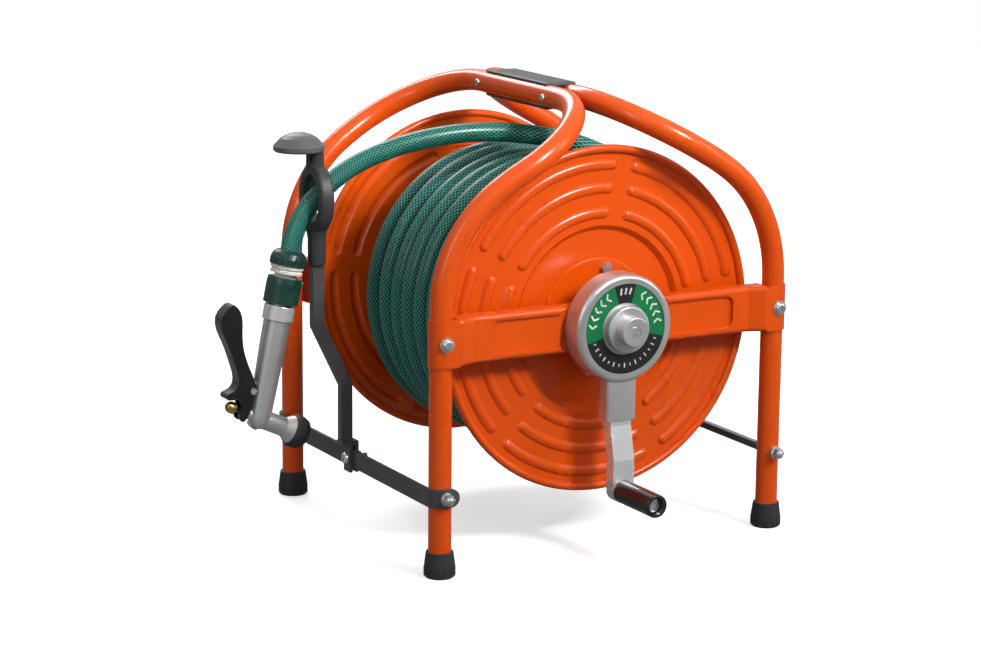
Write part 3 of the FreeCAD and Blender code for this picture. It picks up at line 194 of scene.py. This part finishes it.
# %% Shared node groups
def new_group(name, numbers, outputs):
    """An empty node group with a vector input, these number inputs and these outputs."""
    group = bpy.data.node_groups.new(name, "ShaderNodeTree")
    group.interface.new_socket("Vector", in_out="INPUT", socket_type="NodeSocketVector")
    for label, value in numbers:
        socket = group.interface.new_socket(label, in_out="INPUT", socket_type="NodeSocketFloat")
        socket.default_value = value
    for label in outputs:
        group.interface.new_socket(label, in_out="OUTPUT", socket_type="NodeSocketFloat")
    return group, group.nodes.new("NodeGroupInput"), group.nodes.new("NodeGroupOutput")


def math_node(tree, operation, *terms):
    """The result of one operation on one or two linked values."""
    node = tree.nodes.new("ShaderNodeMath")
    node.operation = operation
    for socket, term in zip(node.inputs, terms):
        tree.links.new(term, socket)
    return node.outputs["Value"]


def colour_mix(tree, factor, first=None, second=None):
    """Two colours mixed by a linked factor; a colour that is left out is linked afterwards."""
    node = tree.nodes.new("ShaderNodeMix")
    node.data_type = "RGBA"
    for label, colour in (("A", first), ("B", second)):
        if colour:
            node.inputs[label].default_value = (*colour, 1)
    tree.links.new(factor, node.inputs["Factor"])
    return node


def bumps(tree, height, strength, distance, shader):
    """Give the shader a bumpy surface from a linked height."""
    hills = tree.nodes.new("ShaderNodeBump")
    hills.inputs["Strength"].default_value = strength
    hills.inputs["Distance"].default_value = distance
    tree.links.new(height, hills.inputs["Height"])
    tree.links.new(hills.outputs["Normal"], shader.inputs["Normal"])


fine_grain, inside, outside = new_group(
    "fine_grain", [("Grain", 900.0), ("Patch", 12.0)], ["Height", "Mask"])
grain = fine_grain.nodes.new("ShaderNodeTexNoise")
patch = fine_grain.nodes.new("ShaderNodeTexNoise")
patch.inputs["Detail"].default_value = 4.0
for noise, label in ((grain, "Grain"), (patch, "Patch")):
    fine_grain.links.new(inside.outputs["Vector"], noise.inputs["Vector"])
    fine_grain.links.new(inside.outputs[label], noise.inputs["Scale"])
fine_grain.links.new(grain.outputs["Fac"], outside.inputs["Height"])
spread = fine_grain.nodes.new("ShaderNodeMapRange")
spread.inputs["From Min"].default_value = 0.3
spread.inputs["From Max"].default_value = 0.7
fine_grain.links.new(patch.outputs["Fac"], spread.inputs["Value"])
fine_grain.links.new(spread.outputs["Result"], outside.inputs["Mask"])

dust, inside, outside = new_group("dust", [("Amount", 0.25)], ["Mask"])
facing = dust.nodes.new("ShaderNodeNewGeometry")
split = dust.nodes.new("ShaderNodeSeparateXYZ")
dust.links.new(facing.outputs["True Normal"], split.inputs["Vector"])
upward = dust.nodes.new("ShaderNodeMapRange")
upward.inputs["From Min"].default_value = 0.5
dust.links.new(split.outputs["Z"], upward.inputs["Value"])
specks = dust.nodes.new("ShaderNodeTexNoise")
specks.inputs["Scale"].default_value = 60.0
specks.inputs["Detail"].default_value = 6.0
dust.links.new(inside.outputs["Vector"], specks.inputs["Vector"])
broken_up = math_node(dust, "MULTIPLY", upward.outputs["Result"], specks.outputs["Fac"])
scaled = math_node(dust, "MULTIPLY", broken_up, inside.outputs["Amount"])
dust.links.new(scaled, outside.inputs["Mask"])
print("node groups", [group.name for group in bpy.data.node_groups])

# %% [markdown]
# A finish is built from the same few steps: two shades of one colour mixed by the slow mask,
# a roughness that moves with it, a grain bump, and a breath of dust on top.

# %% A finish from its values
DUST_COLOUR = (0.55, 0.53, 0.5)
GRAIN_HEIGHT = 0.001      # metres
COAT_ROUGHNESS = 0.12


def finish(name, dark, light, rough, metal=0.0, coat=0.0, shine=0.5, grain=900.0, bump=0.05,
           patch=12.0, dusty=0.1):
    """A material; rough is its range of roughness, grain and patch are scales of noise."""
    material = bpy.data.materials.new(name)
    material.use_nodes = True
    tree = material.node_tree
    shader = tree.nodes["Principled BSDF"]
    place = tree.nodes.new("ShaderNodeTexCoord")
    texture = tree.nodes.new("ShaderNodeGroup")
    texture.node_tree = fine_grain
    texture.inputs["Grain"].default_value = grain
    texture.inputs["Patch"].default_value = patch
    powder = tree.nodes.new("ShaderNodeGroup")
    powder.node_tree = dust
    powder.inputs["Amount"].default_value = dusty
    for group in (texture, powder):
        tree.links.new(place.outputs["Object"], group.inputs["Vector"])
    shades = colour_mix(tree, texture.outputs["Mask"], dark, light)
    dusted = colour_mix(tree, powder.outputs["Mask"], second=DUST_COLOUR)
    tree.links.new(shades.outputs["Result"], dusted.inputs["A"])
    tree.links.new(dusted.outputs["Result"], shader.inputs["Base Color"])
    rough_range = tree.nodes.new("ShaderNodeMapRange")
    rough_range.inputs["To Min"].default_value, rough_range.inputs["To Max"].default_value = rough
    tree.links.new(texture.outputs["Mask"], rough_range.inputs["Value"])
    tree.links.new(rough_range.outputs["Result"], shader.inputs["Roughness"])
    bumps(tree, texture.outputs["Height"], bump, GRAIN_HEIGHT, shader)
    shader.inputs["Metallic"].default_value = metal
    shader.inputs["Coat Weight"].default_value = coat
    shader.inputs["Coat Roughness"].default_value = COAT_ROUGHNESS
    shader.inputs["Specular IOR Level"].default_value = shine
    return material


finishes = {
    "orange": finish("orange_powder_coat", (0.68, 0.072, 0.0012), (0.75, 0.084, 0.0016), (0.22, 0.32),
                     coat=0.15, shine=0.35, grain=420, bump=0.03, patch=6, dusty=0.01),
    "zinc": finish("bright_zinc", (0.66, 0.67, 0.69), (0.84, 0.84, 0.84), (0.12, 0.26),
                   metal=0.8, grain=700, bump=0.03, patch=60, dusty=0.05),
    "dark_steel": finish("dark_grey_paint", (0.050, 0.051, 0.054), (0.078, 0.080, 0.083), (0.30, 0.44),
                         shine=0.4, grain=600, bump=0.06, patch=30, dusty=0.06),
    "cast": finish("satin_die_cast", (0.56, 0.56, 0.56), (0.68, 0.68, 0.675), (0.28, 0.38),
                   metal=0.75, grain=1300, bump=0.08, patch=25, dusty=0.03),
    "plated": finish("plated_steel", (0.74, 0.75, 0.76), (0.84, 0.84, 0.84), (0.22, 0.32),
                     metal=0.55, grain=900, bump=0.03, patch=30, dusty=0.02),
    "rubber": finish("black_rubber", (0.014, 0.014, 0.015), (0.028, 0.028, 0.029), (0.55, 0.75),
                     grain=800, bump=0.15, patch=40, dusty=0.12),
    "dark_plastic": finish("grained_grey_plastic", (0.030, 0.031, 0.034), (0.046, 0.047, 0.050),
                           (0.34, 0.48), shine=0.4, grain=1500, bump=0.16, patch=18, dusty=0.04),
    "gloss_plastic": finish("black_gloss_plastic", (0.007, 0.007, 0.008), (0.014, 0.014, 0.015),
                            (0.14, 0.26), coat=0.3, grain=900, bump=0.03, patch=30, dusty=0.03),
    "green_plastic": finish("dark_green_plastic", (0.004, 0.040, 0.028), (0.008, 0.058, 0.042),
                            (0.30, 0.42), grain=1500, bump=0.10, patch=20, dusty=0.04),
    "white_plastic": finish("white_plastic", (0.66, 0.64, 0.58), (0.76, 0.75, 0.70), (0.36, 0.5),
                            grain=1200, bump=0.06, patch=30, dusty=0.03),
    "brass": finish("turned_brass", (0.55, 0.34, 0.10), (0.78, 0.54, 0.22), (0.18, 0.36),
                    metal=1.0, grain=900, bump=0.05, patch=80, dusty=0.03),
    "knob": finish("light_grey_plastic", (0.085, 0.086, 0.090), (0.110, 0.112, 0.116), (0.36, 0.5),
                   grain=1500, bump=0.16, patch=18, dusty=0.06),
}
print("finishes", sorted(finishes))

# %% [markdown]
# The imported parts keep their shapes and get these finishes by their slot.

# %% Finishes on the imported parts
slot_of = {part["node"]: part["material_slot"] for part in frame["record"]["subparts"]}


def coat_with(node, material):
    item = bpy.data.objects[node]
    item.data.materials.clear()
    item.data.materials.append(material)


coated = 0
for node, slot in slot_of.items():
    if slot in finishes:
        coat_with(node, finishes[slot])
        coated += 1
coat_with("guide_knob", finishes["knob"])
coat_with("crank_grip", finishes["gloss_plastic"])
for hub in ("front_hub", "rear_hub"):
    coat_with(hub, finishes["orange"])
coat_with("nozzle_body", finishes["cast"])
for bright_part in ("crank_arm", "nozzle_collar"):
    coat_with(bright_part, finishes["plated"])
print(coated, "parts coated")

# %% [markdown]
# The hose is green PVC over a knitted yarn that shows as pale crossing lines under a clear skin.
# The lines follow the hose, so they are made from its own UV map: one direction runs along it and
# the other round it.  Two families of slanted lines cross, and where both are absent the dark
# inner tube shows.

# %% Braided hose material
HOSE_D = 0.0195
YARNS_ROUND = 16
STITCH = 0.0036           # metres along the hose
YARN_EDGE = 0.85          # a wave counts as yarn above this height
TUBE_DARK, TUBE_LIGHT = (0.0004, 0.004, 0.0035), (0.001, 0.014, 0.011)
YARN_COLOUR = (0.06, 0.70, 0.56)
YARN_BUMP, YARN_HEIGHT = 0.5, 0.0005


def slanted_lines(tree, uv, along, around, sharp):
    """Thin slanted lines: a sine of along * u + around * v, squeezed to its crest."""
    slant = tree.nodes.new("ShaderNodeVectorMath")
    slant.operation = "DOT_PRODUCT"
    slant.inputs[1].default_value = (along, around, 0)
    tree.links.new(uv, slant.inputs[0])
    wave = math_node(tree, "SINE", slant.outputs["Value"])
    crest = tree.nodes.new("ShaderNodeMapRange")
    crest.inputs["From Min"].default_value = sharp
    crest.inputs["From Max"].default_value = 1.0
    tree.links.new(wave, crest.inputs["Value"])
    return crest.outputs["Result"]


def braid(name, length):
    """The hose's material; the length of the hose sets how many stitches run along it."""
    material = bpy.data.materials.new(name)
    material.use_nodes = True
    tree = material.node_tree
    shader = tree.nodes["Principled BSDF"]
    place = tree.nodes.new("ShaderNodeTexCoord")
    along, around = 2 * math.pi * length / STITCH, 2 * math.pi * YARNS_ROUND
    first = slanted_lines(tree, place.outputs["UV"], along, around, YARN_EDGE)
    second = slanted_lines(tree, place.outputs["UV"], along, -around, YARN_EDGE)
    either = math_node(tree, "MAXIMUM", first, second)
    cloud = tree.nodes.new("ShaderNodeTexNoise")
    cloud.inputs["Scale"].default_value = 90.0
    tree.links.new(place.outputs["Object"], cloud.inputs["Vector"])
    base = colour_mix(tree, cloud.outputs["Fac"], TUBE_DARK, TUBE_LIGHT)
    woven = colour_mix(tree, either, second=YARN_COLOUR)
    tree.links.new(base.outputs["Result"], woven.inputs["A"])
    tree.links.new(woven.outputs["Result"], shader.inputs["Base Color"])
    bumps(tree, either, YARN_BUMP, YARN_HEIGHT, shader)
    shader.inputs["Roughness"].default_value = 0.34
    shader.inputs["Specular IOR Level"].default_value = 0.4
    shader.inputs["Coat Weight"].default_value = 0.2
    shader.inputs["Coat Roughness"].default_value = 0.2
    return material


print("hose diameter", HOSE_D)

# %% [markdown]
# A hose follows one smooth spline.  The spline is a curve without thickness first, to read where
# it really runs and how long it is.  The tube itself is the same curve given a round bevel and
# made a mesh, which brings a UV map along and round the hose.

# %% From a route to a tube
def smooth_line(name, points):
    """A smooth open curve that is pulled along these points."""
    data = bpy.data.curves.new(name, "CURVE")
    data.dimensions = "3D"
    data.resolution_u = 4
    data.use_fill_caps = True
    data.bevel_resolution = 4
    spline = data.splines.new("NURBS")
    spline.points.add(len(points) - 1)
    for control, point in zip(spline.points, points):
        control.co = (*point, 1)
    spline.order_u = 3
    spline.use_endpoint_u = True
    return data


def tube_on(name, points, diameter):
    """The tube as an object, the line it runs on and the length of that line."""
    data = smooth_line(name + "_line", points)
    line = bpy.data.objects.new(name + "_line", data)
    bpy.context.scene.collection.objects.link(line)
    bpy.context.view_layer.update()
    bare = bpy.data.meshes.new_from_object(line.evaluated_get(bpy.context.evaluated_depsgraph_get()))
    path = [vertex.co.copy() for vertex in bare.vertices]
    data.bevel_depth = diameter / 2
    bpy.context.view_layer.update()
    mesh = bpy.data.meshes.new_from_object(line.evaluated_get(bpy.context.evaluated_depsgraph_get()))
    mesh.name = name
    bpy.data.objects.remove(line)
    tube = bpy.data.objects.new(name, mesh)
    bpy.context.scene.collection.objects.link(tube)
    for polygon in mesh.polygons:
        polygon.use_smooth = len(polygon.vertices) == 4
    length = sum((b - a).length for a, b in zip(path, path[1:]))
    print(name, "length", round(length, 3), "m", len(mesh.polygons), "faces",
          [uv.name for uv in mesh.uv_layers])
    return tube, path, length


# %% [markdown]
# The lead: the hose leaves the top of the reel, runs through the guide's loop and bends down into
# its connector.  The points are those of the imported hose, in millimetres.  The guide swings; the
# lead is one piece and is not attached to it.

# %% The lead of the hose
lead_route = [(22.0, -27.0, 390.5), (-28.0, -24.0, 399.8), (-81.5, -20.0, 403.0),
              (-131.5, -14.0, 398.0), (-174.5, -7.0, 386.4), (-206.5, -2.5, 372.2),
              (-229.3, -2.5, 356.2), (-246.4, -0.5, 340.0), (-257.9, 0.0, 323.2),
              (-265.15, 0.0, 305.7), (-268.84, 0.0, 288.07)]
lead, lead_path, lead_length = tube_on(
    "lead_hose", [at(*point) for point in lead_route], HOSE_D)

# %% [markdown]
# The wound hose.  A hose is wound in layers: each turn lies flat round the drum, steps over by one
# pitch on its way up the right side, and each layer goes back over the one below.
# The last layer is looser, so the layer under it shows between its turns.

# %% The wound hose
AXLE_HEIGHT = 228.4       # millimetres, as the layers below
LAYER_RADII = (73.0, 91.0, 108.2, 125.4, 142.5)
LAYER_TURNS = (12, 13, 13, 11, 8)
LAYER_ENDS = ((100.0, -120.0), (-112.0, 122.0), (112.0, -122.0), (-112.0, 92.0), (64.0, -112.0))
POINTS_PER_TURN = 18
STEP_START = 0.62         # the part of a turn where the step to the next one begins
SLACK = 0.9               # how far the loose top layer strays


def ease(value):
    """A smooth rise from 0 to 1."""
    value = min(1.0, max(0.0, value))
    return value * value * (3 - 2 * value)


def on_drum(radius, turn_part, y):
    """A point at this radius; the turn's part runs from the top over the left side and round."""
    angle = math.pi / 2 + 2 * math.pi * turn_part
    return at(radius * math.cos(angle), y, AXLE_HEIGHT + radius * math.sin(angle))


def layer_points(layer):
    """Flat turns that step over by one pitch; the last one steps to the next layer's start."""
    turns = LAYER_TURNS[layer]
    start, end = LAYER_ENDS[layer]
    pitch = (end - start) / (turns - 1)
    radius = LAYER_RADII[layer]
    top = layer + 1 == len(LAYER_RADII)
    next_start = end if top else LAYER_ENDS[layer + 1][0]
    next_radius = radius if top else LAYER_RADII[layer + 1]
    points = []
    for turn in range(turns):
        target = start + pitch * (turn + 1) if turn < turns - 1 else next_start
        here = start + pitch * turn
        for i in range(POINTS_PER_TURN):
            part = i / POINTS_PER_TURN
            step = ease((part - STEP_START) / (1 - STEP_START))
            climb = step * (next_radius - radius) if turn == turns - 1 else 0.0
            slack = SLACK * math.sin(1.9 * turn + 6.3 * part) if top else 0.0
            points.append(on_drum(radius + climb + slack, part, here + (target - here) * step))
    return points


coil_points = [point for layer in range(len(LAYER_RADII)) for point in layer_points(layer)]
print("wound turns", sum(LAYER_TURNS), "points", len(coil_points))

# %% [markdown]
# The last turn rises onto the others, crosses back over them and comes up to the top, where the
# lead takes over: its end has the lead's place and direction.

# %% The last turn
LAST_STEPS = 17
LEAD_START, LEAD_RADIUS, LEAD_Y = 0.978, 163.6, -27.2
RISE_FROM, RISE_OVER = 0.22, 0.45        # parts of the turn
CROSS_FROM, CROSS_OVER = 0.30, 0.65

top_radius, top_y = LAYER_RADII[-1], LAYER_ENDS[-1][1]
for i in range(LAST_STEPS + 1):
    part = LEAD_START * i / LAST_STEPS
    radius = top_radius + (LEAD_RADIUS - top_radius) * ease((part - RISE_FROM) / RISE_OVER)
    y = top_y + (LEAD_Y - top_y) * ease((part - CROSS_FROM) / CROSS_OVER)
    coil_points.append(on_drum(radius, part, y))
wound, wound_path, wound_length = tube_on("wound_hose_turns", coil_points, HOSE_D)

# %% [markdown]
# Both hoses get the braid, scaled by their own length.  The wound hose turns with the reel, and the
# lead starts where it ends.

lead.data.materials.append(braid("braided_lead", lead_length))
wound.data.materials.append(braid("braided_turns", wound_length))
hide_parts("free_hose_cart_side", "free_hose_guide_side")
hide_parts("wound_hose")
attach(wound, "reel")
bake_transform(lead)
print("hoses", round(wound_length + lead_length, 2), "m together")

# %% [markdown]
# The plate on the crank: a ring with a black lower arc, two green fields and a black lens at the
# top.  The fields are cut by angle round the axle: a gradient texture gives the angle, and a ramp
# with hard steps gives the colours.

# %% Crank plate
plate = bpy.data.materials.new("crank_plate")
plate.use_nodes = True
tree = plate.node_tree
shader = tree.nodes["Principled BSDF"]
place = tree.nodes.new("ShaderNodeTexCoord")
centred = tree.nodes.new("ShaderNodeMapping")
centred.vector_type = "TEXTURE"
centred.inputs["Location"].default_value = (axle.x, 0, axle.z)
centred.inputs["Rotation"].default_value = (math.pi / 2, 0, 0)
tree.links.new(place.outputs["Object"], centred.inputs["Vector"])
sweep = tree.nodes.new("ShaderNodeTexGradient")
sweep.gradient_type = "RADIAL"
tree.links.new(centred.outputs["Vector"], sweep.inputs["Vector"])
fields = tree.nodes.new("ShaderNodeValToRGB")
fields.color_ramp.interpolation = "CONSTANT"
green, black = (0.0, 0.17, 0.05, 1), (0.012, 0.012, 0.013, 1)
steps = [(0.0, green), (0.042, black), (0.458, green), (0.705, black), (0.795, green)]
for element, (position, colour) in zip(fields.color_ramp.elements, steps[:2]):
    element.position = position
    element.color = colour
for position, colour in steps[2:]:
    fields.color_ramp.elements.new(position).color = colour
tree.links.new(sweep.outputs["Fac"], fields.inputs["Fac"])
tree.links.new(fields.outputs["Color"], shader.inputs["Base Color"])
shader.inputs["Roughness"].default_value = 0.35
coat_with("crank_label", plate)
print("crank plate fields", len(steps))

# %% [markdown]
# The printed marks on the plate are plain arrows and ticks: arrows on the green fields that say
# which way to wind, a row of bars on the lens and short ticks round the lower arc.  Each bar is a
# small slab that stands a hair above the plate.

# %% Marks on the crank plate
ARROW_RADIUS, TICK_RADIUS = 37.0, 36.0   # millimetres
ARROW_PITCH, ARROW_HALF, ARROW_LEAN = 12.5, 2.2, 38
BAR_THICKNESS, BAR_SINK = 0.0003, 0.00005   # metres

plate_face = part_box("crank_label")[0][1]
marks = bmesh.new()


def bar(radius, degrees, length, width, lean):
    """A white bar at this radius and angle (from +X, counter-clockwise), leaning off the radius."""
    size = Matrix.Diagonal((length / 1000, BAR_THICKNESS, width / 1000, 1))
    out = Matrix.Translation((radius / 1000, 0, 0))
    around = Matrix.Rotation(-math.radians(degrees), 4, "Y")
    tilt = Matrix.Rotation(math.radians(lean), 4, "Y")
    seat = Matrix.Translation((axle.x, plate_face - BAR_SINK, axle.z))
    bmesh.ops.create_cube(marks, size=1.0, matrix=seat @ around @ out @ tilt @ size)


for first in (8, 122):
    for i in range(5):
        centre = first + ARROW_PITCH * i
        for half in (-1, 1):
            bar(ARROW_RADIUS + half * ARROW_HALF, centre, 5.6, 1.7, half * ARROW_LEAN)
for i in range(3):
    bar(ARROW_RADIUS, 82 + 8 * i, 6.5, 1.8, 12)
for i in range(15):
    bar(TICK_RADIUS, 200 + 10 * i, 4.5 if i % 2 else 2.6, 1.3, 0)
marks_mesh = bpy.data.meshes.new("plate_marks")
marks.to_mesh(marks_mesh)
marks.free()
plate_marks = bpy.data.objects.new("plate_marks", marks_mesh)
bpy.context.scene.collection.objects.link(plate_marks)
plate_marks.data.materials.append(finishes["white_plastic"])
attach(plate_marks, "reel")
print("plate marks", len(marks_mesh.polygons) // 6)
